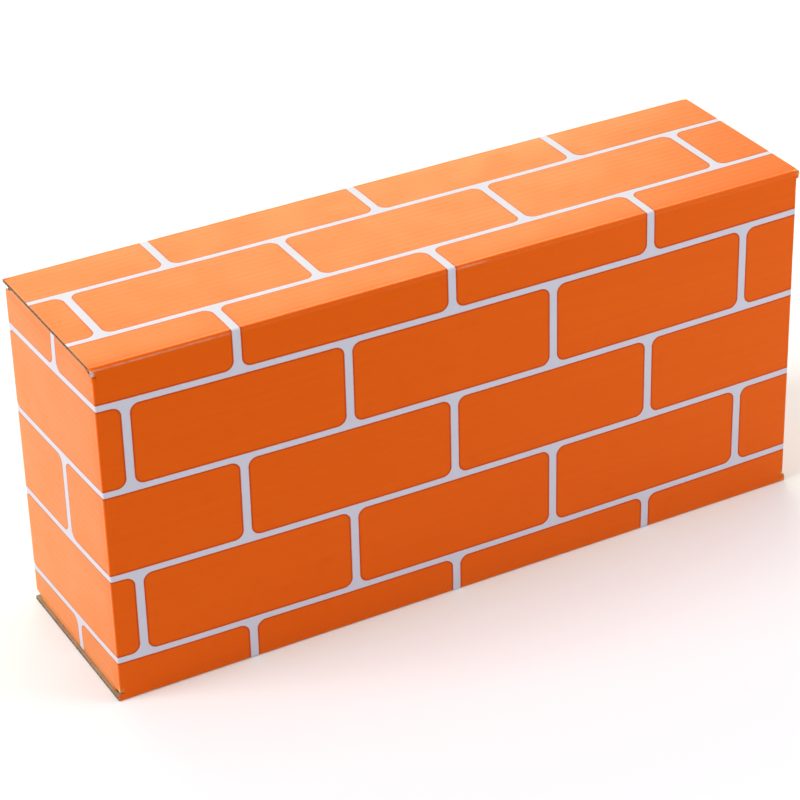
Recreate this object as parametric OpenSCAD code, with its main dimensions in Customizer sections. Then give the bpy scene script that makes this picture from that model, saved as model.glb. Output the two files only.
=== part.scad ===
// Giant building block folded from one die-cut blank of corrugated board.
// Eleven panels and flaps, each of three papers: printed liner, fluting and inner liner.
// The panels are joined by ten folds where the board is crushed thin.
// Origin: middle of the underside. X along the bricks, Y from front to back, Z up.

/* [Block] */
// Length of the block, along the bricks
block_length = 310; // [240:1:380]
// Height of the block as it stands
block_height = 146.6; // [110:0.1:200]
// Depth of the block, front to back
block_depth = 82.5; // [66:0.5:120]

/* [Board] */
// Thickness of each flat liner paper
liner_thickness = 0.25; // [0.2:0.05:0.4]
// Thickness of the fluted paper
medium_thickness = 0.2; // [0.15:0.05:0.3]
// Height of the flutes over the paper, trough to crest
flute_height = 1; // [0.8:0.1:1.6]
// Distance from one flute crest to the next
flute_pitch = 3.3; // [2.4:0.1:6]

/* [Folds] */
// Thickness of the board where a fold has crushed it
fold_thickness = 0.8; // [0.4:0.05:1]
// Distance from a fold line to the full-thickness board
fold_setback = 0.15; // [0.1:0.05:0.3]

/* [Fit] */
// Clearance between a tucked flap and the panel over it
tuck_clearance = 0.3; // [0.2:0.05:0.6]
// How far the end panels lie inside the cut ends of the top and bottom
end_inset = 0.7; // [0.1:0.1:1.2]
// How far a free cut edge stops short of the back face
edge_inset = 0.3; // [0.1:0.1:1]

/* [Corner reliefs] */
// Length of the end panel's corner cut beside the front, along the depth
front_relief_run = 3; // [2.6:0.1:6]
// Drop of that corner cut down the front fold
front_relief_rise = 0.4; // [0.3:0.1:3]
// Length of the end panel's corner cut at the back, along the depth
back_relief_run = 5; // [4:0.5:9]
// Drop of that corner cut down the back edge
back_relief_rise = 1; // [0.5:0.1:6]
// Height of the front fold's corner stubs, from the block's top or underside
corner_stub = 3.4; // [2.4:0.1:3.6]

/* [Ears] */
// Length of an ear from its fold to its tip
ear_length = 45; // [25:1:55]
// Slope of an ear's front edge, in degrees
ear_front_slope = 6; // [0:1:10]
// Slope of an ear's back edge, in degrees
ear_back_slope = 31; // [26:1:34]
// Radius of an ear's tip corners
ear_corner_radius = 8; // [2:1:9]

/* [Tuck flap] */
// Length of the tuck flap from its fold to its tip
tuck_length = 20; // [12:1:28]
// Upward lean of the tuck flap, in degrees
tuck_lean = 5; // [4:1:8]
// Set-back of the tuck flap's fold from the back panel's ends
tuck_end_margin = 5; // [2:1:12]
// Gap between the tuck flap's tip and the lower ears
tuck_ear_gap = 4; // [2:1:10]
// Radius of the tuck flap's tip corners
tuck_corner_radius = 6; // [2:1:9]

/* [Hidden] */
board_thickness = 2 * liner_thickness + flute_height;
cut_overrun = flute_pitch;
fold_facets = 64;
corner_steps = 6;

// Fold lines lie on the inner faces of the panels they join
front_y = board_thickness - block_depth / 2;
back_y = block_depth / 2 - board_thickness;
top_z = block_height - board_thickness;
end_x = block_length / 2 - end_inset - board_thickness;
ear_z = top_z - tuck_clearance - board_thickness;
tuck_z = 2 * board_thickness + tuck_clearance;

// Panel sizes
front_half = end_x - fold_setback;
back_half = end_x - tuck_clearance;
panel_half = block_length / 2;
inner_depth = back_y - front_y;
end_run = block_depth / 2 - edge_inset - front_y;
end_low = tuck_z + fold_setback;
end_high = ear_z - fold_setback;

// The ears start clear of the front's corner stubs as the end swings past them
stub_reach = norm([end_inset + board_thickness, board_thickness]);
relief_run = max(front_relief_run, stub_reach + tuck_clearance);
stub_height = min(corner_stub, block_height - end_high + front_relief_rise - fold_setback);

// Ears, measured from the end panel's front fold
ear_front = relief_run;
ear_back = end_run - back_relief_run;
ear_tip_front = ear_front + ear_length * tan(ear_front_slope);
ear_tip_back = ear_back - ear_length * tan(ear_back_slope);
tip_round_share = 0.45;
ear_round = min(ear_corner_radius, (ear_tip_back - ear_tip_front) * tip_round_share);

// Tuck flap, cut to clear the back edges of the lower ears
tuck_root_half = back_half - tuck_end_margin;
tuck_reach = (ear_back - inner_depth + tuck_length) / tan(ear_back_slope) + tuck_ear_gap;
tuck_tip_half = min(tuck_root_half, end_x - tuck_reach);
tuck_round = min(tuck_corner_radius, tuck_length * tip_round_share);

// One flute: shares of the pitch, and of the swing to either side of the middle
flute_step_shares = [1 / 12, 2 / 12, 4 / 12, 5 / 12, 7 / 12, 8 / 12, 10 / 12, 11 / 12];
flute_swing_shares = [0.65, 1, 1, 0.65, -0.65, -1, -1, -0.65];
flute_swing = (flute_height - medium_thickness) / 2;

print_colour = [0.87, 0.38, 0.04];
kraft_colour = [0.74, 0.58, 0.4];
fluting_colour = [0.66, 0.5, 0.34];

// Points of a corner rounded to radius r
function unit(v) = v / norm(v);
function turned(v, angle) = [
  v.x * cos(angle) - v.y * sin(angle),
  v.x * sin(angle) + v.y * cos(angle)
];
function corner(before, at, after, r) =
  let (a = unit(before - at))
  let (b = unit(after - at))
  let (half_angle = acos(a * b) / 2)
  let (centre = at + unit(a + b) * r / sin(half_angle))
  let (spoke = at + a * r / tan(half_angle) - centre)
  let (swing = sign(cross(b, a)) * (180 - 2 * half_angle))
  [for (i = [0:corner_steps]) centre + turned(spoke, swing * i / corner_steps)];

// Middle line of the fluting over a whole number of flutes, from one flute before to one after
function flute_line(span) =
  let (count = round(span / flute_pitch))
  let (pitch = span / count)
  [
    for (i = [-1:count])
      for (k = [0:len(flute_step_shares) - 1])
        [(i + flute_step_shares[k]) * pitch, flute_swing * flute_swing_shares[k]]
  ];
// The same line cut off square at both ends of the span
function flute_line_cut(span) = concat(
  [[0, 0]],
  [for (p = flute_line(span)) if (p.x > 0 && p.x < span) p],
  [[span, 0]]
);
function lifted(line, rise) = [for (p = line) [p.x, p.y + rise]];
function reversed(line) = [for (i = [len(line) - 1:-1:0]) line[i]];

// Fluting as a flat strip's edge view: X across the flutes, Y through the board
module flute_edge(line) {
  middle = liner_thickness + flute_height / 2;
  polygon(concat(
    lifted(line, middle + medium_thickness / 2),
    reversed(lifted(line, middle - medium_thickness / 2))
  ));
}

// Flutes running along X over a rectangle from low to high
module fluting_along(low, high) {
  translate([low.x, low.y, 0])
    rotate([90, 0, 90])
      linear_extrude(high.x - low.x)
        flute_edge(flute_line_cut(high.y - low.y));
}

// The same, cut to an outline drawn as the child
module fluting_along_cut(low, high) {
  intersection() {
    translate([low.x - cut_overrun, low.y, 0])
      rotate([90, 0, 90])
        linear_extrude(high.x - low.x + 2 * cut_overrun)
          flute_edge(flute_line(high.y - low.y));
    linear_extrude(board_thickness)
      children();
  }
}

// Flutes running along Y, cut to an outline drawn as the child
module fluting_across_cut(low, high) {
  intersection() {
    translate([low.x, high.y + cut_overrun, 0])
      rotate([90, 0, 0])
        linear_extrude(high.y - low.y + 2 * cut_overrun)
          flute_edge(flute_line(high.x - low.x));
    linear_extrude(board_thickness)
      children();
  }
}

// Liner papers over an outline drawn as the child; the inner face lies on Z = 0
module inner_paper() {
  linear_extrude(liner_thickness)
    children();
}
module outer_paper() {
  translate([0, 0, board_thickness - liner_thickness])
    linear_extrude(liner_thickness)
      children();
}

module rectangle(low, high) {
  translate(low)
    square(high - low);
}

// Corners of the rectangular panels, in their own planes
front_low = [-front_half, board_thickness + fold_setback];
front_high = [front_half, top_z - fold_setback];
back_low = [-back_half, tuck_z + fold_setback];
back_high = [back_half, top_z - fold_setback];
top_low = [-panel_half, front_y + fold_setback];
top_high = [panel_half, back_y - fold_setback];
bottom_low = [-panel_half, edge_inset - block_depth / 2];
bottom_high = [panel_half, -front_y - fold_setback];
end_corner_low = [-end_run, end_low];
end_corner_high = [-fold_setback, end_high];
ear_low = [fold_setback, ear_front];
ear_high = [ear_length, ear_back];
tuck_low = [-tuck_root_half, fold_setback];
tuck_high = [tuck_root_half, tuck_length];

module end_outline() {
  polygon([
    [-fold_setback, end_low + front_relief_rise],
    [-relief_run, end_low],
    [back_relief_run - end_run, end_low],
    [-end_run, end_low + back_relief_rise],
    [-end_run, end_high - back_relief_rise],
    [back_relief_run - end_run, end_high],
    [-relief_run, end_high],
    [-fold_setback, end_high - front_relief_rise]
  ]);
}

module ear_outline() {
  root_front = [fold_setback, ear_front];
  root_back = [fold_setback, ear_back];
  tip_front = [ear_length, ear_tip_front];
  tip_back = [ear_length, ear_tip_back];
  polygon(concat(
    [root_back, root_front],
    corner(root_front, tip_front, tip_back, ear_round),
    corner(tip_front, tip_back, root_back, ear_round)
  ));
}

module tuck_outline() {
  root_left = [-tuck_root_half, fold_setback];
  root_right = [tuck_root_half, fold_setback];
  tip_left = [-tuck_tip_half, tuck_length];
  tip_right = [tuck_tip_half, tuck_length];
  polygon(concat(
    [root_left, root_right],
    corner(root_right, tip_right, tip_left, tuck_round),
    corner(tip_right, tip_left, root_left, tuck_round)
  ));
}

// Places of the panels: inner face on the fold line, outer face outward
module at_bottom() {
  translate([0, 0, board_thickness])
    rotate([180, 0, 0])
      children();
}
module at_front() {
  translate([0, front_y, 0])
    rotate([90, 0, 0])
      children();
}
module at_top() {
  translate([0, 0, top_z])
    children();
}
module at_back() {
  translate([0, back_y, 0])
    rotate([90, 0, 180])
      children();
}
module at_tuck() {
  translate([0, back_y, tuck_z])
    rotate([180 - tuck_lean, 0, 0])
      children();
}
module at_left_end() {
  translate([-end_x, front_y, 0])
    rotate([90, 0, -90])
      children();
}
module at_left_upper_ear() {
  translate([-end_x, front_y, ear_z])
    children();
}
module turned_over() {
  translate([0, 0, block_height])
    mirror([0, 0, 1])
      children();
}
module other_side() {
  mirror([1, 0, 0])
    children();
}

// Crushed board of a fold, as a bar along Z round the fold line
module fold_bar(length, angle) {
  inner_radius = board_thickness - fold_thickness;
  far = 2 * board_thickness;
  linear_extrude(length, center = true) {
    intersection() {
      difference() {
        circle(board_thickness, $fn = fold_facets);
        circle(inner_radius, $fn = fold_facets);
      }
      polygon([
        [0, 0],
        [far, 0],
        [far * cos(angle / 2), far * sin(angle / 2)] * sqrt(2),
        [far * cos(angle), far * sin(angle)]
      ]);
    }
    translate([inner_radius, -fold_setback])
      square([fold_thickness, fold_setback]);
    rotate(angle)
      translate([inner_radius, 0])
        square([fold_thickness, fold_setback]);
  }
}

// Corner stubs of the front beside its top fold
module corner_stubs() {
  width = panel_half - front_half;
  height = stub_height - board_thickness;
  for (x = [-panel_half, front_half])
    translate([x, -block_depth / 2, block_height - stub_height])
      cube([width, fold_thickness, height]);
}

// Bottom panel
module bottom_panel_printed_liner() {
  color(print_colour)
    at_bottom()
      outer_paper()
        rectangle(bottom_low, bottom_high);
}
module bottom_panel_fluting() {
  color(fluting_colour)
    at_bottom()
      fluting_along(bottom_low, bottom_high);
}
module bottom_panel_inner_liner() {
  color(kraft_colour)
    at_bottom()
      inner_paper()
        rectangle(bottom_low, bottom_high);
}

// Front panel
module front_panel_printed_liner() {
  color(print_colour)
    at_front()
      outer_paper()
        rectangle(front_low, front_high);
}
module front_panel_fluting() {
  color(fluting_colour)
    at_front()
      fluting_along(front_low, front_high);
}
module front_panel_inner_liner() {
  color(kraft_colour)
    at_front()
      inner_paper()
        rectangle(front_low, front_high);
}

// Top panel
module top_panel_printed_liner() {
  color(print_colour)
    at_top()
      outer_paper()
        rectangle(top_low, top_high);
}
module top_panel_fluting() {
  color(fluting_colour)
    at_top()
      fluting_along(top_low, top_high);
}
module top_panel_inner_liner() {
  color(kraft_colour)
    at_top()
      inner_paper()
        rectangle(top_low, top_high);
}

// Back panel, hinged on the top's back edge
module back_panel_printed_liner() {
  color(print_colour)
    at_back()
      outer_paper()
        rectangle(back_low, back_high);
}
module back_panel_fluting() {
  color(fluting_colour)
    at_back()
      fluting_along(back_low, back_high);
}
module back_panel_inner_liner() {
  color(kraft_colour)
    at_back()
      inner_paper()
        rectangle(back_low, back_high);
}

// Tuck flap on the back panel's lower edge
module tuck_flap_printed_liner() {
  color(print_colour)
    at_tuck()
      outer_paper()
        tuck_outline();
}
module tuck_flap_fluting() {
  color(fluting_colour)
    at_tuck()
      fluting_along_cut(tuck_low, tuck_high)
        tuck_outline();
}
module tuck_flap_inner_liner() {
  color(kraft_colour)
    at_tuck()
      inner_paper()
        tuck_outline();
}

// Left end panel
module left_end_printed_liner() {
  color(print_colour)
    at_left_end()
      outer_paper()
        end_outline();
}
module left_end_fluting() {
  color(fluting_colour)
    at_left_end()
      fluting_along_cut(end_corner_low, end_corner_high)
        end_outline();
}
module left_end_inner_liner() {
  color(kraft_colour)
    at_left_end()
      inner_paper()
        end_outline();
}

// Right end panel
module right_end_printed_liner() {
  color(print_colour)
    other_side()
      left_end_printed_liner();
}
module right_end_fluting() {
  color(fluting_colour)
    other_side()
      left_end_fluting();
}
module right_end_inner_liner() {
  color(kraft_colour)
    other_side()
      left_end_inner_liner();
}

// Ears of the left end panel
module left_upper_ear_printed_liner() {
  color(print_colour)
    at_left_upper_ear()
      outer_paper()
        ear_outline();
}
module left_upper_ear_fluting() {
  color(fluting_colour)
    at_left_upper_ear()
      fluting_across_cut(ear_low, ear_high)
        ear_outline();
}
module left_upper_ear_inner_liner() {
  color(kraft_colour)
    at_left_upper_ear()
      inner_paper()
        ear_outline();
}
module left_lower_ear_printed_liner() {
  color(print_colour)
    turned_over()
      left_upper_ear_printed_liner();
}
module left_lower_ear_fluting() {
  color(fluting_colour)
    turned_over()
      left_upper_ear_fluting();
}
module left_lower_ear_inner_liner() {
  color(kraft_colour)
    turned_over()
      left_upper_ear_inner_liner();
}

// Ears of the right end panel
module right_upper_ear_printed_liner() {
  color(print_colour)
    other_side()
      left_upper_ear_printed_liner();
}
module right_upper_ear_fluting() {
  color(fluting_colour)
    other_side()
      left_upper_ear_fluting();
}
module right_upper_ear_inner_liner() {
  color(kraft_colour)
    other_side()
      left_upper_ear_inner_liner();
}
module right_lower_ear_printed_liner() {
  color(print_colour)
    other_side()
      left_lower_ear_printed_liner();
}
module right_lower_ear_fluting() {
  color(fluting_colour)
    other_side()
      left_lower_ear_fluting();
}
module right_lower_ear_inner_liner() {
  color(kraft_colour)
    other_side()
      left_lower_ear_inner_liner();
}

// Folds
module front_top_fold() {
  color(print_colour) {
    translate([0, front_y, top_z])
      rotate([90, 0, -90])
        fold_bar(block_length, 90);
    corner_stubs();
  }
}
module front_bottom_fold() {
  color(print_colour)
    turned_over()
      front_top_fold();
}
module front_left_fold() {
  color(print_colour)
    translate([-end_x, front_y, block_height / 2])
      rotate([0, 0, 180])
        fold_bar(end_high - end_low - 2 * front_relief_rise, 90);
}
module front_right_fold() {
  color(print_colour)
    other_side()
      front_left_fold();
}
module top_back_fold() {
  color(print_colour)
    translate([0, back_y, top_z])
      rotate([90, 0, 90])
        fold_bar(block_length, 90);
}
module back_tuck_fold() {
  color(print_colour)
    translate([0, back_y, tuck_z])
      rotate([-90, 0, 90])
        fold_bar(2 * tuck_root_half, 90 + tuck_lean);
}
module left_upper_ear_fold() {
  color(print_colour)
    translate([-end_x, front_y + (ear_front + ear_back) / 2, ear_z])
      rotate([90, 0, 180])
        fold_bar(ear_back - ear_front, 90);
}
module left_lower_ear_fold() {
  color(print_colour)
    turned_over()
      left_upper_ear_fold();
}
module right_upper_ear_fold() {
  color(print_colour)
    other_side()
      left_upper_ear_fold();
}
module right_lower_ear_fold() {
  color(print_colour)
    other_side()
      left_lower_ear_fold();
}

bottom_panel_printed_liner();
bottom_panel_fluting();
bottom_panel_inner_liner();
front_panel_printed_liner();
front_panel_fluting();
front_panel_inner_liner();
top_panel_printed_liner();
top_panel_fluting();
top_panel_inner_liner();
back_panel_printed_liner();
back_panel_fluting();
back_panel_inner_liner();
tuck_flap_printed_liner();
tuck_flap_fluting();
tuck_flap_inner_liner();
left_end_printed_liner();
left_end_fluting();
left_end_inner_liner();
right_end_printed_liner();
right_end_fluting();
right_end_inner_liner();
left_upper_ear_printed_liner();
left_upper_ear_fluting();
left_upper_ear_inner_liner();
left_lower_ear_printed_liner();
left_lower_ear_fluting();
left_lower_ear_inner_liner();
right_upper_ear_printed_liner();
right_upper_ear_fluting();
right_upper_ear_inner_liner();
right_lower_ear_printed_liner();
right_lower_ear_fluting();
right_lower_ear_inner_liner();
front_bottom_fold();
front_top_fold();
front_left_fold();
front_right_fold();
top_back_fold();
back_tuck_fold();
left_upper_ear_fold();
left_lower_ear_fold();
right_upper_ear_fold();
right_lower_ear_fold();
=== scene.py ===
import math

import bmesh
import bpy
from mathutils import Matrix, Vector, noise


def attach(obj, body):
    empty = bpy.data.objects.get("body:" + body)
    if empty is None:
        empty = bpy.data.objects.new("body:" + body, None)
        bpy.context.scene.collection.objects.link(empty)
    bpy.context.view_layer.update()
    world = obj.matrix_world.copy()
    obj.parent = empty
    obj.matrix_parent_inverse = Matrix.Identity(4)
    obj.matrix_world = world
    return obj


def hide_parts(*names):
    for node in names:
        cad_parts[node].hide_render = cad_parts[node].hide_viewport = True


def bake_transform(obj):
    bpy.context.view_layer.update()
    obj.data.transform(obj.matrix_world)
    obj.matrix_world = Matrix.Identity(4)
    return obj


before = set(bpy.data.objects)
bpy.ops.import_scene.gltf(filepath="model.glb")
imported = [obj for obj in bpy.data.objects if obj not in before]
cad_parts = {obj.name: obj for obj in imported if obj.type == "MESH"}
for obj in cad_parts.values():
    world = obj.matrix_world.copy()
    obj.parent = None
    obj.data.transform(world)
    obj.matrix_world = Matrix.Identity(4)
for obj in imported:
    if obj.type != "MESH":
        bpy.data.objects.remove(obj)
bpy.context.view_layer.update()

# Sizes of the folded block, in metres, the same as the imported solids
LENGTH, HEIGHT, DEPTH = 0.310, 0.1466, 0.0825

# Thickness of the printed liner, of the whole board and of a crushed fold, and the pitch of the flutes
LINER, BOARD, CRUSHED = 0.00025, 0.0015, 0.0008
FLUTE_PITCH = 0.0033

# Distance from a fold line to the full board, clearance of tucked flaps,
# inset of the end panels, and inset of free cut edges
SETBACK, CLEAR = 0.00015, 0.0003
END_INSET, EDGE_INSET = 0.0007, 0.0003

# Corner cuts of the end panels, beside the front and at the back, and the height of the corner stubs
FRONT_RUN, FRONT_RISE = 0.0030, 0.0004
BACK_RUN, BACK_RISE = 0.005, 0.001
STUB = 0.0034

# Ears: length, rounding of the tip, slopes of the front and back edges
EAR, EAR_ROUND = 0.045, 0.008
EAR_FRONT_SLOPE, EAR_BACK_SLOPE = math.radians(6), math.radians(31)

# Tuck flap: length, rounding of the tip, upward lean, margin at its fold, gap to the lower ears
TUCK, TUCK_ROUND = 0.020, 0.006
TUCK_LEAN = math.radians(5)
TUCK_MARGIN, TUCK_GAP = 0.005, 0.004

# Fold lines lie on the inner faces of the panels they join
front_y = BOARD - DEPTH / 2
back_y = DEPTH / 2 - BOARD
top_z = HEIGHT - BOARD
end_x = LENGTH / 2 - END_INSET - BOARD
ear_z = top_z - CLEAR - BOARD
tuck_z = 2 * BOARD + CLEAR

# Edges of the panels; those of the ends and ears run back from the front fold
half_length = LENGTH / 2
inner_depth = back_y - front_y
front_half = end_x - SETBACK
back_half = end_x - CLEAR
end_run = DEPTH / 2 - EDGE_INSET - front_y
end_low, end_high = tuck_z + SETBACK, ear_z - SETBACK
ear_front, ear_back = FRONT_RUN, end_run - BACK_RUN
ear_tip_front = ear_front + EAR * math.tan(EAR_FRONT_SLOPE)
ear_tip_back = ear_back - EAR * math.tan(EAR_BACK_SLOPE)
tuck_root = back_half - TUCK_MARGIN
tuck_tip = end_x - (ear_back - inner_depth + TUCK) / math.tan(EAR_BACK_SLOPE) - TUCK_GAP

X, Y, Z = Vector((1, 0, 0)), Vector((0, 1, 0)), Vector((0, 0, 1))
SIDES = (("left", -1), ("right", 1))
LEVELS = (("upper", 1, ear_z), ("lower", -1, tuck_z))

# Lengths of the flat blank's print that the long folds and the end folds take up,
# and how much longer the print is drawn over the ends
FOLD_PRINT, END_PRINT, END_DRAWN = 0.0021, 0.0017, 1.049

# Where the blank's coordinates stand at each panel's near fold
v_top = top_z + FOLD_PRINT
v_back = v_top + inner_depth + FOLD_PRINT
v_tuck = v_back + (top_z - tuck_z) + FOLD_PRINT
v_bottom = BOARD - FOLD_PRINT
u_end = end_x + END_PRINT

# The crease over the front is crushed at its left end: how deep, and how far along and across it
CRUSH, CRUSH_LENGTH, CRUSH_REACH = 0.00014, 0.024, 0.0032


def crush(u, v):
    """Share of the crushing at a place on the blank, most at the front's upper left corner."""
    along = math.exp(-(((u + half_length) / CRUSH_LENGTH) ** 2))
    across = math.exp(-(((v - top_z - FOLD_PRINT / 2) / CRUSH_REACH) ** 2))
    return along * across


def end_blank(sign, run, v):
    """Place on the blank of a point of an end panel or its ears, a run back from the front fold."""
    return Vector((sign * (u_end + run / END_DRAWN), v))


# Node trees

# Sockets of a mix node's share, colours and result
MIX_SHARE, MIX_A, MIX_B, MIX_RESULT = 0, 6, 7, 2
NOISE_ROUGHNESS = 0.55
# Middle of a share, and of a noise's values
MIDDLE = 0.5


class Tree:
    """A material's node tree, with short calls for the nodes used here."""

    def __init__(self, name):
        self.material = bpy.data.materials.new(name)
        self.material.use_nodes = True
        self.nodes = self.material.node_tree.nodes
        self.links = self.material.node_tree.links
        self.nodes.clear()
        out = self.nodes.new("ShaderNodeOutputMaterial")
        self.shader = self.nodes.new("ShaderNodeBsdfPrincipled")
        self.links.new(self.shader.outputs[0], out.inputs["Surface"])

    def feed(self, socket, value):
        if isinstance(value, bpy.types.NodeSocket):
            self.links.new(value, socket)
        else:
            socket.default_value = value

    def surface(self, name, value):
        self.feed(self.shader.inputs[name], value)

    def math(self, operation, a, b=None, c=None, clamp=False):
        n = self.nodes.new("ShaderNodeMath")
        n.operation = operation
        n.use_clamp = clamp
        for i, value in enumerate((a, b, c)):
            if value is not None:
                self.feed(n.inputs[i], value)
        return n.outputs[0]

    def gap(self, a, b):
        """How far a is from b."""
        return self.math("ABSOLUTE", self.math("SUBTRACT", a, b))

    def length(self, a, b):
        """Length of a line that runs a one way and b the other."""
        squares = self.math("ADD", self.math("MULTIPLY", a, a), self.math("MULTIPLY", b, b))
        return self.math("SQRT", squares)

    def step(self, value, low, high, start=0.0, end=1.0):
        """Smooth change from start, where value is low, to end, where it is high."""
        n = self.nodes.new("ShaderNodeMapRange")
        n.interpolation_type = "SMOOTHSTEP"
        self.feed(n.inputs["Value"], value)
        for key, v in (("From Min", low), ("From Max", high), ("To Min", start), ("To Max", end)):
            n.inputs[key].default_value = v
        return n.outputs[0]

    def mix(self, share, a, b):
        n = self.nodes.new("ShaderNodeMix")
        n.data_type = "RGBA"
        self.feed(n.inputs[MIX_SHARE], share)
        self.feed(n.inputs[MIX_A], a)
        self.feed(n.inputs[MIX_B], b)
        return n.outputs[MIX_RESULT]

    def noise(self, vector, scale, detail, rough=NOISE_ROUGHNESS):
        n = self.nodes.new("ShaderNodeTexNoise")
        n.inputs["Scale"].default_value = scale
        n.inputs["Detail"].default_value = detail
        n.inputs["Roughness"].default_value = rough
        self.feed(n.inputs["Vector"], vector)
        return n.outputs["Fac"]

    def stretch(self, vector, scale):
        n = self.nodes.new("ShaderNodeMapping")
        n.inputs["Scale"].default_value = scale
        self.feed(n.inputs["Vector"], vector)
        return n.outputs[0]

    def split(self, vector):
        n = self.nodes.new("ShaderNodeSeparateXYZ")
        self.feed(n.inputs[0], vector)
        return n.outputs

    def coords(self, output):
        return self.nodes.new("ShaderNodeTexCoord").outputs[output]

    def bump(self, height, distance, normal=None):
        n = self.nodes.new("ShaderNodeBump")
        n.inputs["Distance"].default_value = distance
        n.inputs["Strength"].default_value = 1.0
        self.feed(n.inputs["Height"], height)
        if normal is not None:
            self.feed(n.inputs["Normal"], normal)
        return n.outputs[0]


# Brick print

# Pitch of the bricks and courses, where they start, the white joints and the bricks' rounding
BRICK, COURSE = 0.09051, 0.03697
BRICK_START, COURSE_START = 0.03884, 0.01693
HEAD_JOINT, BED_JOINT, BRICK_ROUND = 0.0033, 0.0025, 0.0039
# Every second course is moved by this share of a brick
BOND_SHIFT = 0.5

# The print runs a little off square: it slopes, sags in the middle, falls away over the ends and leans
SLOPE, SAG, END_FALL, LEAN = -0.0037, 0.057, 0.0425, 0.0017
# Its bricks are crowded towards the ends of the front
CROWD_SHIFT, CROWD_SLOPE, CROWD = 0.00065, -0.0019, -0.0728
# Over the top the crowding fades, and the print has slipped at the left
CROWD_FADE, TOP_SLIP, SLIP_START, SLIP_END = 0.030, 0.0013, -0.115, -0.135

WHITE = (1, 1, 1, 1)
ORANGE = (0.80, 0.097, 0.0004, 1)
ORANGE_THIN = (0.86, 0.16, 0.004, 1)
ORANGE_DEEP = (0.66, 0.068, 0.0004, 1)
ORANGE_RIM = (0.54, 0.032, 0.0006, 1)
JOINT_WHITE = (0.63, 0.64, 0.75, 1)
JOINT_GREY = (0.62, 0.59, 0.67, 1)
SCUFF_WHITE = (0.80, 0.60, 0.50, 1)

# Varnish: tint of its glints and of its pale veil at flat angles, over the ink and over the joints
INK_GLINT = (1.0, 0.55, 0.03, 1)
INK_VEIL = (1.0, 0.98, 0.27, 1)
JOINT_VEIL = (0.82, 0.70, 0.63, 1)
VARNISH_IOR, VEIL, VEIL_SPREAD, BARE_DULLER = 1.38, 1.0, 0.35, 0.2

# Noises on the blank: grains to the metre, detail, and roughness where it is unusual
RAGGED_NOISE = (900.0, 2.0)
MOTTLE_NOISE = (130.0, 4.0)
SCUFF_NOISE = (420.0, 5.0, 0.7)
GLOSS_NOISE = (60.0, 3.0)
GRAIN_NOISE = (2600.0, 3.0)
DRAWN_NOISE = (1.0, 2.0)
# Noises that are drawn out along the blank
STREAK_STRETCH, RIDGE_STRETCH, SCUFF_STRETCH = (6.0, 420.0, 1.0), (20.0, 90.0, 1.0), (1.0, 2.2, 1.0)

# Outline of a brick: how far it strays, how soft it is, and the darker rim inside it
RAGGED, INK_EDGE = 0.00018, 0.00016
RIM = (0.0010, 0.0004, 0.0, 0.85)

# Noise values between which an effect changes, and its share, or the roughness, at both
THIN_INK = (0.42, 0.75, 0.0, 0.10)
DEEP_INK = (0.52, 0.85, 0.0, 0.22)
GREY_JOINT = (0.35, 0.8, 0.0, 0.22)
GLOSS = (0.3, 0.7, 0.28, 0.36)
HEAVY_SCUFF = (0.30, 0.62, 0.08, 0.34)
LIGHT_SCUFF = (0.62, 0.78, 0.0, 0.3)
TORN_PAPER = (0.30, 0.55, 0.35, 1.0)

# The crease over the front is rubbed along a line on its fold, at the left end and in a patch at the middle
SCUFF_LINE, SCUFF_BAND = 0.0005, (0.0005, 0.0001)
SCUFF_LEFT = (-0.092, -0.112, 0.12, 1.0)
PATCH_LEFT, PATCH_RIGHT = (-0.008, 0.0), (0.014, 0.004)
# Distances from the folds between which the lighter rubbing begins
FOLD_BAND = (0.0021, 0.0004)
# Reach of the torn paper at the front's upper left corner, and how far below the fold it lies
TORN = 0.0020
TORN_DROP = TORN / 3

# Heights of the flutes' ridges and of the paper's grain, and depth of the rubbed spots
RIDGE_HEIGHT, GRAIN_HEIGHT, SCUFF_DEPTH = 0.000014, 0.000018, 0.00012


def print_places(t, u, v):
    """Places along and up the pattern of bricks, which doesn't lie square on the blank."""
    inner = t.math("MINIMUM", t.math("MAXIMUM", u, -half_length), half_length)
    beyond = t.gap(u, inner)
    bow = t.math("MULTIPLY", inner, t.math("MULTIPLY_ADD", inner, SAG, SLOPE))
    line = t.math("MULTIPLY_ADD", beyond, -END_FALL, bow)
    up = t.math("SUBTRACT", t.math("SUBTRACT", v, COURSE_START), line)
    crowd = t.math("MULTIPLY_ADD", inner, t.math("MULTIPLY_ADD", inner, CROWD, CROWD_SLOPE), CROWD_SHIFT)
    over_top = t.step(v, top_z, top_z + CROWD_FADE)
    slip = t.math("MULTIPLY", t.step(u, SLIP_START, SLIP_END), TOP_SLIP)
    crowd = t.math("MULTIPLY_ADD", over_top, t.math("SUBTRACT", slip, crowd), crowd)
    lean = t.math("MULTIPLY", t.math("SUBTRACT", v, HEIGHT / 2), LEAN)
    along = t.math("SUBTRACT", t.math("SUBTRACT", u, crowd), lean)
    return along, up


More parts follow.
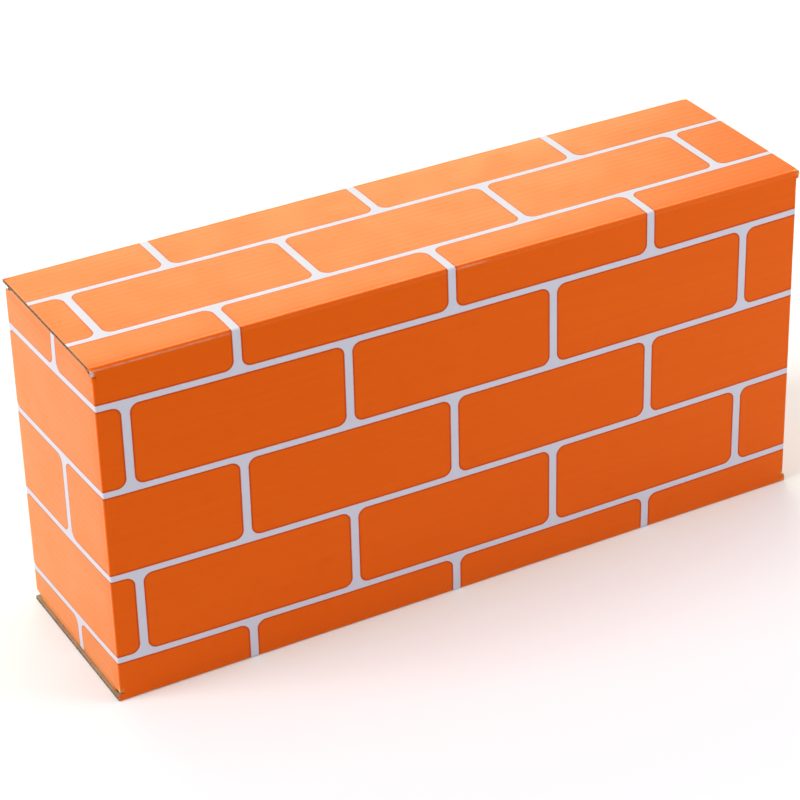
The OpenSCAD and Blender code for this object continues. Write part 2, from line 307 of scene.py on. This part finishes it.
def brick_depth(t, sheet, along, up):
    """How far a place lies inside the ragged outline of its brick, in running bond."""
    course = t.math("DIVIDE", up, COURSE)
    row = t.math("FLOOR", course)
    across = t.math("SUBTRACT", course, row)
    shift = t.math("FRACT", t.math("MULTIPLY", row, BOND_SHIFT))
    bricks = t.math("DIVIDE", t.math("SUBTRACT", along, BRICK_START), BRICK)
    lengthwise = t.math("FRACT", t.math("ADD", bricks, shift))

    def into_rounding(share, pitch, joint):
        inside = t.math("SUBTRACT", MIDDLE, t.gap(share, MIDDLE))
        inside = t.math("SUBTRACT", t.math("MULTIPLY", inside, pitch), joint / 2)
        return t.math("MAXIMUM", t.math("SUBTRACT", BRICK_ROUND, inside), 0.0)

    across_head = into_rounding(lengthwise, BRICK, HEAD_JOINT)
    across_bed = into_rounding(across, COURSE, BED_JOINT)
    depth = t.math("SUBTRACT", BRICK_ROUND, t.length(across_head, across_bed))
    stray = t.math("SUBTRACT", t.noise(sheet, *RAGGED_NOISE), MIDDLE)
    return t.math("ADD", depth, t.math("MULTIPLY", stray, RAGGED))


def wear(t, sheet, u, v):
    """Share of the ink that is rubbed off along the folds, most on the front's upper crease at the left."""
    grain = t.noise(t.stretch(sheet, SCUFF_STRETCH), *SCUFF_NOISE)
    band = t.step(t.gap(v, top_z + SCUFF_LINE), *SCUFF_BAND)
    patch = t.math("MULTIPLY", t.step(u, *PATCH_RIGHT), t.step(u, *PATCH_LEFT))
    reach = t.math("MAXIMUM", t.step(u, *SCUFF_LEFT), patch)
    heavy = t.math("MULTIPLY", t.math("MULTIPLY", band, reach), t.step(grain, *HEAVY_SCUFF))
    long_folds = t.math("MINIMUM", t.gap(v, top_z + FOLD_PRINT / 2), t.gap(v, BOARD - FOLD_PRINT / 2))
    end_folds = t.gap(t.math("ABSOLUTE", u), end_x + END_PRINT / 2)
    near_fold = t.step(t.math("MINIMUM", long_folds, end_folds), *FOLD_BAND)
    light = t.math("MULTIPLY", near_fold, t.step(grain, *LIGHT_SCUFF))
    from_corner = t.length(t.math("ADD", u, half_length), t.math("SUBTRACT", v, top_z - TORN_DROP))
    torn = t.math("MULTIPLY", t.step(from_corner, TORN, TORN / 2), t.step(grain, *TORN_PAPER))
    return t.math("MAXIMUM", t.math("MAXIMUM", heavy, torn), light, clamp=True)


def brick_print():
    t = Tree("brick_print")
    sheet = t.coords("UV")
    u, v = t.split(sheet)[:2]
    depth = brick_depth(t, sheet, *print_places(t, u, v))
    brick = t.step(depth, -INK_EDGE, INK_EDGE)
    worn = wear(t, sheet, u, v)

    # ink laid a little thinner along the flutes, faintly mottled, and darker round each brick
    streak = t.noise(t.stretch(sheet, STREAK_STRETCH), *DRAWN_NOISE)
    mottle = t.noise(sheet, *MOTTLE_NOISE)
    ink = t.mix(t.step(streak, *THIN_INK), ORANGE, ORANGE_THIN)
    ink = t.mix(t.step(mottle, *DEEP_INK), ink, ORANGE_DEEP)
    ink = t.mix(t.step(depth, *RIM), ink, ORANGE_RIM)
    joint = t.mix(t.step(mottle, *GREY_JOINT), JOINT_WHITE, JOINT_GREY)
    t.surface("Base Color", t.mix(worn, t.mix(brick, joint, ink), SCUFF_WHITE))

    # satin varnish, duller on the joints and where it is rubbed
    bare = t.math("SUBTRACT", 1.0, t.math("MULTIPLY", brick, t.math("SUBTRACT", 1.0, worn)))
    gloss = t.step(t.noise(sheet, *GLOSS_NOISE), *GLOSS)
    t.surface("Roughness", t.math("MULTIPLY_ADD", bare, BARE_DULLER, gloss))
    t.surface("IOR", VARNISH_IOR)
    t.surface("Specular Tint", t.mix(brick, WHITE, INK_GLINT))
    t.surface("Sheen Weight", VEIL)
    t.surface("Sheen Roughness", VEIL_SPREAD)
    t.surface("Sheen Tint", t.mix(brick, JOINT_VEIL, INK_VEIL))

    # the flutes show through the liner as faint ridges along the blank, under a fine paper grain
    flute = t.math("SINE", t.math("MULTIPLY", v, 2 * math.pi / FLUTE_PITCH))
    soft = t.noise(t.stretch(sheet, RIDGE_STRETCH), *DRAWN_NOISE)
    ridged = t.bump(t.math("MULTIPLY", flute, soft), RIDGE_HEIGHT)
    grained = t.bump(t.noise(sheet, *GRAIN_NOISE), GRAIN_HEIGHT, ridged)
    t.surface("Normal", t.bump(t.math("SUBTRACT", 1.0, worn), SCUFF_DEPTH, grained))
    return t.material


# Unprinted papers

# Noises: grains to the metre, detail, and roughness where it is unusual
FIBRE_NOISE = (1.0, 5.0, 0.65)
CLOUD_NOISE = (90.0, 4.0)
SPECK_NOISE = (1500.0, 2.0)
# Noise values between which an effect changes, and its share, or the roughness, at both
FIBRE_SHADE = (0.35, 0.7, 0.0, 1.0)
CLOUD_SHADE = (0.35, 0.75, 0.0, 0.55)
SPECK_SHADE = (0.62, 0.7, 0.0, 0.5)
PAPER_DULLNESS = (0.3, 0.7, 0.78, 0.92)
PAPER_SHINE = 0.25
FIBRE_HEIGHT, SPECK_HEIGHT = 0.00006, 0.00003


def paper(name, base, dark, light, fibres):
    """Unprinted paper: fibres drawn out along one axis, specks and a soft grain."""
    t = Tree(name)
    at = t.coords("Object")
    fibre = t.noise(t.stretch(at, fibres), *FIBRE_NOISE)
    cloud = t.noise(at, *CLOUD_NOISE)
    speck = t.noise(at, *SPECK_NOISE)
    colour = t.mix(t.step(fibre, *FIBRE_SHADE), dark, base)
    colour = t.mix(t.step(cloud, *CLOUD_SHADE), colour, light)
    colour = t.mix(t.step(speck, *SPECK_SHADE), colour, dark)
    t.surface("Base Color", colour)
    t.surface("Roughness", t.step(cloud, *PAPER_DULLNESS))
    t.surface("Specular IOR Level", PAPER_SHINE)
    t.surface("Normal", t.bump(speck, SPECK_HEIGHT, t.bump(fibre, FIBRE_HEIGHT)))
    return t.material


PRINT = brick_print()
KRAFT = paper(
    "kraft_liner",
    base=(0.46, 0.31, 0.18, 1), dark=(0.34, 0.21, 0.115, 1), light=(0.54, 0.38, 0.235, 1),
    fibres=(300.0, 1400.0, 300.0),
)
FLUTING = paper(
    "fluted_kraft",
    base=(0.27, 0.18, 0.115, 1), dark=(0.15, 0.09, 0.055, 1), light=(0.38, 0.27, 0.18, 1),
    fibres=(260.0, 900.0, 900.0),
)
CUT_EDGE = paper(
    "cut_paper_edge",
    base=(0.30, 0.245, 0.20, 1), dark=(0.17, 0.13, 0.10, 1), light=(0.46, 0.40, 0.35, 1),
    fibres=(900.0, 900.0, 900.0),
)

# Meshes

# Places of the materials on every piece
PRINTED, INNER, CUT = 0, 1, 2
PIECE_MATERIALS = (PRINT, KRAFT, CUT_EDGE)

# Parts that a rounded corner is drawn in
ROUND_STEPS = 6
# Distance between a skin's points, and the first few points' distances from its edges
SKIN_STEP = 0.004
EDGE_STATIONS = (0.0, 0.0004, 0.0008, 0.0012, 0.0017, 0.0024, 0.0034, 0.005)
# Slant and distance below which an edge lies on the side of its outline's box
PARALLEL, TOUCHING = 1e-6, 1e-7
# Points of a cut mesh nearer than this are joined
SLIVER = 0.0001

# How far the board is pressed in along its folds, and how far from them
DENT, DENT_REACH = 0.00008, 0.0028
# Panels swell in the middle; a smaller power of the arch makes the swelling fuller
SWELL, SWELL_POWER = 0.00022, 0.7
# They are a little uneven, but calm towards their edges
UNEVEN, UNEVEN_GRAIN, UNEVEN_SEED, CALM = 0.00010, 26, 1.7, 0.012


def pairs(ring):
    """Each member of a ring with the next one."""
    return zip(ring, ring[1:] + ring[:1])


def rounded(points, radii):
    """Points of a convex outline with some corners rounded."""
    out = []
    for i, (p, r) in enumerate(zip(points, radii)):
        if not r:
            out.append(Vector(p))
            continue
        at = Vector(p)
        a = (Vector(points[i - 1]) - at).normalized()
        b = (Vector(points[(i + 1) % len(points)]) - at).normalized()
        half_angle = math.acos(max(-1, min(1, a.dot(b)))) / 2
        centre = at + (a + b).normalized() * r / math.sin(half_angle)
        spoke = at + a * r / math.tan(half_angle) - centre
        swing = (math.pi - 2 * half_angle) * (1 if a.x * b.y - a.y * b.x < 0 else -1)
        for k in range(ROUND_STEPS + 1):
            turn = Matrix.Rotation(swing * k / ROUND_STEPS, 2)
            out.append(centre + turn @ spoke)
    return out


def stations(low, high):
    """Places along an edge, closer together near both ends."""
    margin = EDGE_STATIONS[-1]
    inner = (high - low) - 2 * margin
    count = max(1, round(inner / SKIN_STEP))
    middle = [low + margin + inner * k / count for k in range(1, count)]
    return [low + s for s in EDGE_STATIONS] + middle + [high - s for s in reversed(EDGE_STATIONS)]


def box_outline(a0, b0, a1, b1):
    return [Vector((a0, b0)), Vector((a1, b0)), Vector((a1, b1)), Vector((a0, b1))]


def mirrored(points, a=1, b=1):
    return [Vector((p.x * a, p.y * b)) for p in points]


def arch(share):
    """Rise from 0 at both ends of a span to 1 in its middle."""
    return max(0.0, 4 * share * (1 - share))


def add_face(bm, corners, material, flip=False):
    face = bm.faces.new(corners[::-1] if flip else corners)
    face.material_index = material


def finish_piece(name, bm, where, body=None, nodes=(), smooth=(PRINTED,)):
    """An object from a mesh whose points' places on the flat blank are given."""
    uv = bm.loops.layers.uv.new("blank")
    for f in bm.faces:
        f.smooth = f.material_index in smooth
        for l in f.loops:
            l[uv].uv = where[l.vert]
    mesh = bpy.data.meshes.new(name)
    bm.to_mesh(mesh)
    bm.free()
    for m in PIECE_MATERIALS:
        mesh.materials.append(m)
    obj = bpy.data.objects.new(name, mesh)
    bpy.context.scene.collection.objects.link(obj)
    if nodes:
        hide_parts(*nodes)
    if body:
        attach(obj, body)
    return obj


def cut_grid(outline, low, high):
    """A flat grid of faces, cut to a convex outline inside the box from low to high."""
    bm = bmesh.new()
    columns, lines = stations(low.x, high.x), stations(low.y, high.y)
    rows = [[bm.verts.new((a, b, 0)) for a in columns] for b in lines]
    for r0, r1 in zip(rows, rows[1:]):
        for i in range(len(r0) - 1):
            bm.faces.new((r0[i], r0[i + 1], r1[i + 1], r1[i]))
    area = sum(p.x * q.y - p.y * q.x for p, q in pairs(outline))
    for p, q in pairs(outline if area > 0 else outline[::-1]):
        edge = (q - p).normalized()
        on_end = abs(edge.x) < PARALLEL and min(abs(p.x - low.x), abs(p.x - high.x)) < TOUCHING
        on_side = abs(edge.y) < PARALLEL and min(abs(p.y - low.y), abs(p.y - high.y)) < TOUCHING
        if on_end or on_side:
            continue
        bmesh.ops.bisect_plane(
            bm, geom=bm.verts[:] + bm.edges[:] + bm.faces[:], dist=TOUCHING,
            plane_co=(p.x, p.y, 0), plane_no=(edge.y, -edge.x, 0), clear_outer=True,
        )
    bmesh.ops.remove_doubles(bm, verts=bm.verts[:], dist=SLIVER)
    bmesh.ops.dissolve_degenerate(bm, edges=bm.edges[:], dist=SLIVER)
    return bm


# Printed skins of the panels and flaps

def skin(name, body, node, origin, axes, outline, blank, folds, full=1.0):
    """A printed liner over a convex outline: swollen a little, pressed in along its folds, closed."""
    a_axis, b_axis, normal = axes
    low = Vector((min(p.x for p in outline), min(p.y for p in outline)))
    high = Vector((max(p.x for p in outline), max(p.y for p in outline)))
    size = high - low
    bm = cut_grid(outline, low, high)
    flat = {v: v.co.xy.copy() for v in bm.verts}
    outer_faces = bm.faces[:]
    rim = [e for e in bm.edges if len(e.link_faces) == 1]

    def height(p):
        gaps = {"a-": p.x - low.x, "a+": high.x - p.x, "b-": p.y - low.y, "b+": high.y - p.y}
        swell = SWELL * (arch(gaps["a-"] / size.x) * arch(gaps["b-"] / size.y)) ** SWELL_POWER
        calm = min(1.0, min(gaps.values()) / CALM)
        spot = Vector((p.x * UNEVEN_GRAIN, p.y * UNEVEN_GRAIN, len(name) * UNEVEN_SEED))
        uneven = UNEVEN * calm * noise.noise(spot)
        dent = max(DENT * math.exp(-((gaps[side] / DENT_REACH) ** 2)) for side in folds)
        return max(0.0, swell + uneven) * full - dent

    under, where = {}, {}
    for v, p in flat.items():
        where[v] = blank(p)
        rise = height(p) - CRUSH * crush(*where[v])
        base = origin + a_axis * p.x + b_axis * p.y
        v.co = base + normal * (BOARD + rise)
        under[v] = bm.verts.new(base + normal * (BOARD - LINER + min(0.0, rise)))
        where[under[v]] = where[v]
    for f in outer_faces:
        add_face(bm, [under[v] for v in reversed(f.verts[:])], INNER)
    for e in rim:
        e.smooth = False
        loop = next(l for l in e.link_faces[0].loops if l.edge == e)
        p, q = loop.vert, loop.link_loop_next.vert
        add_face(bm, (q, p, under[p], under[q]), CUT)
    finish_piece(name, bm, where, body, [node])


skin(
    "front_skin", "front_panel", "front_panel_printed_liner", Vector((0, front_y, 0)), (X, Z, -Y),
    box_outline(-front_half, BOARD + SETBACK, front_half, top_z - SETBACK),
    lambda p: (p.x, p.y), ("a-", "a+", "b-", "b+"),
)
skin(
    "top_skin", "top_panel", "top_panel_printed_liner", Vector((0, 0, top_z)), (X, Y, Z),
    box_outline(-half_length, front_y + SETBACK, half_length, back_y - SETBACK),
    lambda p: (p.x, v_top + p.y - front_y), ("b-", "b+"),
)
skin(
    "back_skin", "back_panel", "back_panel_printed_liner", Vector((0, back_y, 0)), (-X, Z, Y),
    box_outline(-back_half, tuck_z + SETBACK, back_half, top_z - SETBACK),
    lambda p: (-p.x, v_back + top_z - p.y), ("b-", "b+"),
)
# the block stands on its bottom, which therefore doesn't swell
skin(
    "bottom_skin", "bottom_panel", "bottom_panel_printed_liner", Vector((0, 0, BOARD)), (X, -Y, -Z),
    box_outline(-half_length, EDGE_INSET - DEPTH / 2, half_length, -front_y - SETBACK),
    lambda p: (p.x, v_bottom + p.y + front_y), ("b+",), full=0.0,
)
tuck_turn = Matrix.Rotation(math.pi - TUCK_LEAN, 3, "X")
skin(
    "tuck_skin", "tuck_flap", "tuck_flap_printed_liner", Vector((0, back_y, tuck_z)),
    (X, tuck_turn @ Y, tuck_turn @ Z),
    rounded(
        [(-tuck_root, SETBACK), (tuck_root, SETBACK), (tuck_tip, TUCK), (-tuck_tip, TUCK)],
        [0, 0, TUCK_ROUND, TUCK_ROUND],
    ),
    lambda p: (p.x, v_tuck + p.y), ("b-",),
)
end_outline = [
    Vector((SETBACK, end_low + FRONT_RISE)),
    Vector((FRONT_RUN, end_low)),
    Vector((end_run - BACK_RUN, end_low)),
    Vector((end_run, end_low + BACK_RISE)),
    Vector((end_run, end_high - BACK_RISE)),
    Vector((end_run - BACK_RUN, end_high)),
    Vector((FRONT_RUN, end_high)),
    Vector((SETBACK, end_high - FRONT_RISE)),
]
for side, sign in SIDES:
    skin(
        f"{side}_end_skin", f"{side}_end", f"{side}_end_printed_liner",
        Vector((sign * end_x, front_y, 0)), (Y * sign, Z, X * sign), mirrored(end_outline, a=sign),
        lambda p, sign=sign: end_blank(sign, sign * p.x, p.y), ("a-" if sign > 0 else "a+", "b-", "b+"),
    )
ear_outline = rounded(
    [(SETBACK, ear_back), (SETBACK, ear_front), (EAR, ear_tip_front), (EAR, ear_tip_back)],
    [0, 0, EAR_ROUND, EAR_ROUND],
)
for side, sign in SIDES:
    for level, up, place in LEVELS:
        turn = -sign * up
        ear = f"{side}_{level}_ear"

        def ear_blank(p, sign=sign, up=up, place=place, turn=turn):
            return end_blank(sign, turn * p.y, place + up * (FOLD_PRINT + p.x))

        skin(
            f"{ear}_skin", ear, f"{ear}_printed_liner",
            Vector((sign * end_x, front_y, place)), (X * -sign, Y * turn, Z * up),
            mirrored(ear_outline, b=turn), ear_blank, ("a-",),
        )

# Folds

# Distance between a fold's points along it, the fewest parts along it, and facets round it
FOLD_STEP, FOLD_PARTS, FOLD_FACETS = 0.003, 2, 12
# Creases are squarer than a round bend, by the power of their curve, and rounder where they are crushed
CREASE, CRUSHED_CREASE = 4.2, 1.7
# Waves along a crease: height, grains to the metre, grain round the bend, and how far they lie inward
WAVE, WAVE_GRAIN, WAVE_TURN, WAVE_INWARD = 0.00007, 90, 1.3, 0.35


def bulge(share, loss):
    """How many times farther out than a round bend a crease reaches, at a share of its turn."""
    power = CREASE + (CRUSHED_CREASE - CREASE) * loss
    turn = math.pi / 2 * share
    return (math.cos(turn) ** power + math.sin(turn) ** power) ** (-1 / power)


def fold(node, centre, normal_a, normal_b, axis, low, high, blank_a, blank_b):
    """Crushed board round a fold line, from panel a's edge to panel b's, turned through the angle between
    them.
    """
    across = (normal_b - normal_a * normal_b.dot(normal_a)).normalized()
    angle = math.acos(max(-1, min(1, normal_a.dot(normal_b))))
    profile = [(0.0, -SETBACK)]
    profile += [(angle * k / FOLD_FACETS, 0.0) for k in range(FOLD_FACETS + 1)]
    profile += [(angle, SETBACK)]
    count = max(FOLD_PARTS, round((high - low) / FOLD_STEP))
    bm = bmesh.new()
    grid, where = [], {}
    for i in range(count + 1):
        w = low + (high - low) * i / count
        near, far = blank_a(w), blank_b(w)
        run = (far - near).length
        line = []
        for phi, along in profile:
            ray = normal_a * math.cos(phi) + across * math.sin(phi)
            tangent = across * math.cos(phi) - normal_a * math.sin(phi)
            at = near.lerp(far, (phi / angle * (run - 2 * SETBACK) + SETBACK + along) / run)
            loss = crush(*at)
            spot = Vector((w * WAVE_GRAIN, phi * WAVE_TURN, len(node)))
            wave = WAVE * math.sin(math.pi * phi / angle) * (noise.noise(spot) - WAVE_INWARD)
            reach = (BOARD - DENT - CRUSH * loss) * bulge(phi / angle, loss) + wave
            base = centre + axis * w + tangent * along
            outer = bm.verts.new(base + ray * reach)
            inner = bm.verts.new(base + ray * (BOARD - CRUSHED))
            where[outer] = where[inner] = at
            line.append((outer, inner))
        grid.append(line)
    flip = across.cross(normal_a).dot(axis) > 0
    last = len(profile) - 1
    for g0, g1 in zip(grid, grid[1:]):
        for j in range(last):
            add_face(bm, [g0[j][0], g0[j + 1][0], g1[j + 1][0], g1[j][0]], PRINTED, flip)
            add_face(bm, [g0[j][1], g1[j][1], g1[j + 1][1], g0[j + 1][1]], INNER, flip)
        add_face(bm, [g0[0][1], g0[0][0], g1[0][0], g1[0][1]], CUT, flip)
        add_face(bm, [g0[last][0], g0[last][1], g1[last][1], g1[last][0]], CUT, flip)
    start, stop = grid[0], grid[-1]
    for j in range(last):
        add_face(bm, [start[j][1], start[j + 1][1], start[j + 1][0], start[j][0]], CUT, flip)
        add_face(bm, [stop[j][0], stop[j + 1][0], stop[j + 1][1], stop[j][1]], CUT, flip)
    obj = finish_piece(f"{node}_skin", bm, where, None, [node], (PRINTED, INNER))
    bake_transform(obj)


fold(
    "front_bottom_fold", Vector((0, front_y, BOARD)), -Z, -Y,
    X, -half_length, half_length,
    lambda w: Vector((w, v_bottom)), lambda w: Vector((w, BOARD)),
)
fold(
    "front_top_fold", Vector((0, front_y, top_z)), -Y, Z,
    X, -half_length, half_length,
    lambda w: Vector((w, top_z)), lambda w: Vector((w, v_top)),
)
fold(
    "top_back_fold", Vector((0, back_y, top_z)), Z, Y,
    X, -half_length, half_length,
    lambda w: Vector((w, v_back - FOLD_PRINT)), lambda w: Vector((w, v_back)),
)
fold(
    "back_tuck_fold", Vector((0, back_y, tuck_z)), Y, tuck_turn @ Z,
    X, -tuck_root, tuck_root,
    lambda w: Vector((w, v_tuck - FOLD_PRINT)), lambda w: Vector((w, v_tuck)),
)
for side, sign in SIDES:
    fold(
        f"front_{side}_fold",
        Vector((sign * end_x, front_y, 0)), -Y, X * sign,
        Z, end_low + FRONT_RISE, end_high - FRONT_RISE,
        lambda w, sign=sign: Vector((sign * end_x, w)), lambda w, sign=sign: Vector((sign * u_end, w)),
    )
    for level, up, place in LEVELS:
        ear = f"{side}_{level}_ear"
        fold(
            f"{ear}_fold", Vector((sign * end_x, front_y, place)), X * sign, Z * up,
            Y, ear_front, ear_back,
            lambda w, sign=sign, v=place: end_blank(sign, w, v),
            lambda w, sign=sign, v=place + up * FOLD_PRINT: end_blank(sign, w, v),
        )

# Corner stubs

STUB_COLUMNS, STUB_ROWS = 5, 7
# How far the cut end is torn back, and how far the torn paper curls in
TEAR, CURL = 0.00030, 0.00022
# Grain of the tear along the cut end, and its change from side to side and from top to bottom
TEAR_GRAIN, TEAR_SIDE, TEAR_LEVEL = 3.1, 2.3, 1.9


def stub(name, sign, up):
    """One of the front's corner stubs beside its top or bottom fold, torn a little at its cut end."""
    bm = bmesh.new()
    x0, x1 = sign * front_half, sign * half_length
    z0, z1 = (HEIGHT - STUB, top_z) if up > 0 else (STUB, BOARD)
    front, rear, where = {}, {}, {}
    for i in range(STUB_COLUMNS + 1):
        for k in range(STUB_ROWS + 1):
            a, b = i / STUB_COLUMNS, k / STUB_ROWS
            spot = Vector((b * TEAR_GRAIN, sign * TEAR_SIDE, up * TEAR_LEVEL))
            tear = TEAR * a * (MIDDLE - noise.noise(spot))
            x = x0 + (x1 - x0) * a - sign * tear * (1 - b)
            z = z0 + (z1 - z0) * b
            curl = CURL * a * a * (1 - b)
            front[i, k] = bm.verts.new((x, -DEPTH / 2 + DENT + curl, z))
            rear[i, k] = bm.verts.new((x, -DEPTH / 2 + CRUSHED, z))
            where[front[i, k]] = where[rear[i, k]] = Vector((x, z))
    flip = sign * up < 0
    for i in range(STUB_COLUMNS):
        for k in range(STUB_ROWS):
            corners = [(i, k), (i + 1, k), (i + 1, k + 1), (i, k + 1)]
            add_face(bm, [front[c] for c in corners], PRINTED, flip)
            add_face(bm, [rear[c] for c in reversed(corners)], INNER, flip)
    ring = [(i, 0) for i in range(STUB_COLUMNS)]
    ring += [(STUB_COLUMNS, k) for k in range(STUB_ROWS)]
    ring += [(i, STUB_ROWS) for i in range(STUB_COLUMNS, 0, -1)]
    ring += [(0, k) for k in range(STUB_ROWS, 0, -1)]
    for p, q in pairs(ring):
        add_face(bm, [front[q], front[p], rear[p], rear[q]], CUT, flip)
    finish_piece(name, bm, where, "front_panel")


for side, sign in SIDES:
    stub(f"{side}_top_corner_stub", sign, 1)
    stub(f"{side}_bottom_corner_stub", sign, -1)

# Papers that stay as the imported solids
for name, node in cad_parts.items():
    if name.endswith("_fluting") or name.endswith("_inner_liner"):
        material = FLUTING if name.endswith("_fluting") else KRAFT
        node.data.materials.clear()
        node.data.materials.append(material)

# Floor

FLOOR_HALF, FLOOR_SEGMENTS = 6.0, 2
FLOOR_GREY, FLOOR_COOL = (0.86, 0.86, 0.86, 1), (0.84, 0.84, 0.845, 1)
# Colour of the floor where it is seen, and not only lights the block
FLOOR_SEEN = (0.95, 0.97, 1.0, 1)
FLOOR_NOISE, FLOOR_CLOUD = (3.0, 3.0), (0.3, 0.7, 0.0, 0.3)
FLOOR_DULLNESS, FLOOR_SHINE = 0.9, 0.1


def pale_floor():
    t = Tree("pale_floor")
    cloud = t.step(t.noise(t.coords("Object"), *FLOOR_NOISE), *FLOOR_CLOUD)
    grey = t.mix(cloud, FLOOR_GREY, FLOOR_COOL)
    rays = t.nodes.new("ShaderNodeLightPath").outputs
    seen = t.math("MAXIMUM", rays["Is Camera Ray"], rays["Is Glossy Ray"])
    seen = t.math("MAXIMUM", seen, rays["Is Transmission Ray"])
    t.surface("Base Color", t.mix(seen, grey, FLOOR_SEEN))
    t.surface("Roughness", FLOOR_DULLNESS)
    t.surface("Specular IOR Level", FLOOR_SHINE)
    return t.material


bm = bmesh.new()
bmesh.ops.create_grid(bm, x_segments=FLOOR_SEGMENTS, y_segments=FLOOR_SEGMENTS, size=FLOOR_HALF)
floor_mesh = bpy.data.meshes.new("floor")
bm.to_mesh(floor_mesh)
bm.free()
floor_mesh.materials.append(pale_floor())
floor = bpy.data.objects.new("floor", floor_mesh)
bpy.context.scene.collection.objects.link(floor)

# Light

ROOM_COLOUR, ROOM_STRENGTH = (0.90, 0.945, 1.0, 1), 0.43
SHOWN_STRENGTH = 1.0

world = bpy.data.worlds.new("soft_room")
world.use_nodes = True
bpy.context.scene.world = world
nodes, links = world.node_tree.nodes, world.node_tree.links
nodes.clear()
out = nodes.new("ShaderNodeOutputWorld")
room, shown = nodes.new("ShaderNodeBackground"), nodes.new("ShaderNodeBackground")
room.inputs["Color"].default_value = ROOM_COLOUR
room.inputs["Strength"].default_value = ROOM_STRENGTH
shown.inputs["Color"].default_value = WHITE
shown.inputs["Strength"].default_value = SHOWN_STRENGTH
path, choose = nodes.new("ShaderNodeLightPath"), nodes.new("ShaderNodeMixShader")
links.new(path.outputs["Is Camera Ray"], choose.inputs[0])
links.new(room.outputs[0], choose.inputs[1])
links.new(shown.outputs[0], choose.inputs[2])
links.new(choose.outputs[0], out.inputs["Surface"])


def lamp(name, place, target, size, power, colour):
    light = bpy.data.lights.new(name, "AREA")
    light.shape = "RECTANGLE"
    light.size, light.size_y = size
    light.energy = power
    light.color = colour
    obj = bpy.data.objects.new(name, light)
    bpy.context.scene.collection.objects.link(obj)
    obj.location = place
    obj.rotation_euler = (Vector(target) - Vector(place)).to_track_quat("-Z", "Y").to_euler()


lamp(
    "key_left", place=(-1.5, 0.1, 1.3), target=(0, 0, 0.07),
    size=(1.1, 1.1), power=27.5, colour=(1.0, 0.945, 0.91),
)
lamp(
    "overhead", place=(0.1, 0.35, 1.9), target=(0, 0, 0.07),
    size=(1.4, 1.0), power=4.5, colour=(1.0, 0.93, 0.86),
)
lamp(
    "back", place=(0.40, 1.46, 0.95), target=(0, 0, 0.12),
    size=(1.3, 0.9), power=13.4, colour=(1.0, 0.93, 0.58),
)
lamp(
    "front_fill", place=(0.74, -0.55, 0.51), target=(0.05, 0, 0.10),
    size=(0.55, 0.55), power=3.3, colour=(1.0, 0.98, 0.95),
)

# Camera

# Its turn, height angle and roll, and its place from the origin: sideways, up and away
AZIMUTH, ELEVATION, ROLL = math.radians(-28.072), math.radians(30.304), math.radians(-1.642)
SHIFT_X, SHIFT_Y, DISTANCE = -0.008245, 0.057347, 1.21171
# Focal length and width of the photo in pixels, and the sensor's width in millimetres
FOCAL_PIXELS, PHOTO_PIXELS, SENSOR = 2915.08, 800, 36.0
CLIP_START, CLIP_END = 0.05, 30

away = Vector((
    math.sin(AZIMUTH) * math.cos(ELEVATION),
    -math.cos(AZIMUTH) * math.cos(ELEVATION),
    math.sin(ELEVATION),
))
level_right = Vector((math.cos(AZIMUTH), math.sin(AZIMUTH), 0))
level_up = away.cross(level_right)
right = level_right * math.cos(ROLL) + level_up * math.sin(ROLL)
upward = level_up * math.cos(ROLL) - level_right * math.sin(ROLL)
camera = bpy.data.cameras.new("camera")
camera.sensor_fit = "HORIZONTAL"
camera.sensor_width = SENSOR
camera.lens = FOCAL_PIXELS / PHOTO_PIXELS * SENSOR
camera.clip_start, camera.clip_end = CLIP_START, CLIP_END
eye = bpy.data.objects.new("camera", camera)
bpy.context.scene.collection.objects.link(eye)
eye_place = right * SHIFT_X + upward * SHIFT_Y + away * DISTANCE
eye_turn = Matrix((right, upward, away)).transposed().to_4x4()
eye.matrix_world = Matrix.Translation(eye_place) @ eye_turn
bpy.context.scene.camera = eye

bpy.context.scene.view_settings.view_transform = "Standard"
